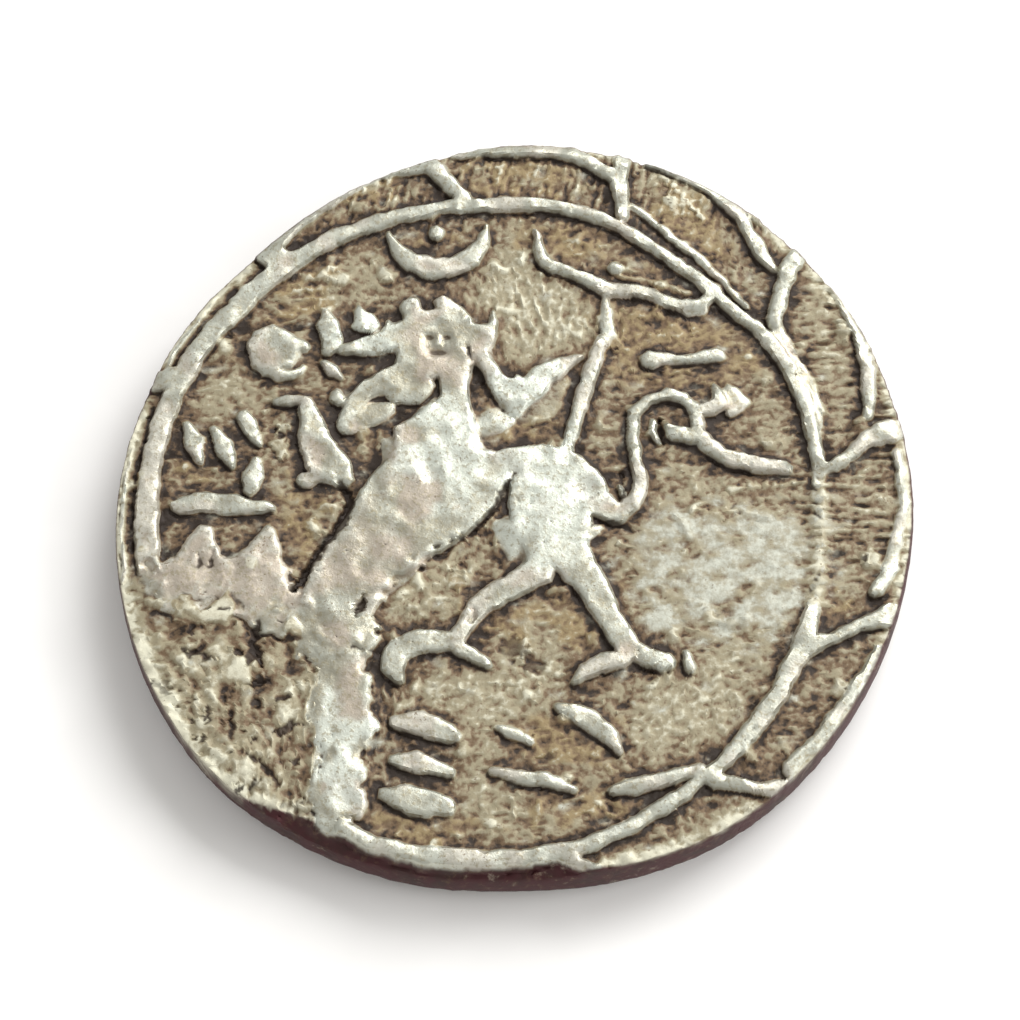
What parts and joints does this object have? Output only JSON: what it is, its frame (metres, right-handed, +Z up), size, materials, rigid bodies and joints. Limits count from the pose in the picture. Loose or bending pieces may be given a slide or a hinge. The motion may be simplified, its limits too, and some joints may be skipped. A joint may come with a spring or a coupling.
{
  "type": "antique coin",
  "caption": "Thick hand-struck silver coin with an uneven edge, a striding four-legged beast with an archer's body inside a raised ring, and a plainer reverse.",
  "frame": {"origin": "middle of the coin's bounding box on the surface it lies on", "axes": "+Z up out of the obverse, +Y towards the top of the obverse design, +X to its right"},
  "size_m": [0.0242, 0.0242, 0.0023],
  "materials": {
    "coin": "struck silver alloy, worn bright on the high points, brown tarnish in the recesses"
  },
  "bodies": {
    "root": {"coin": "coin"}
  },
  "joints": []
}
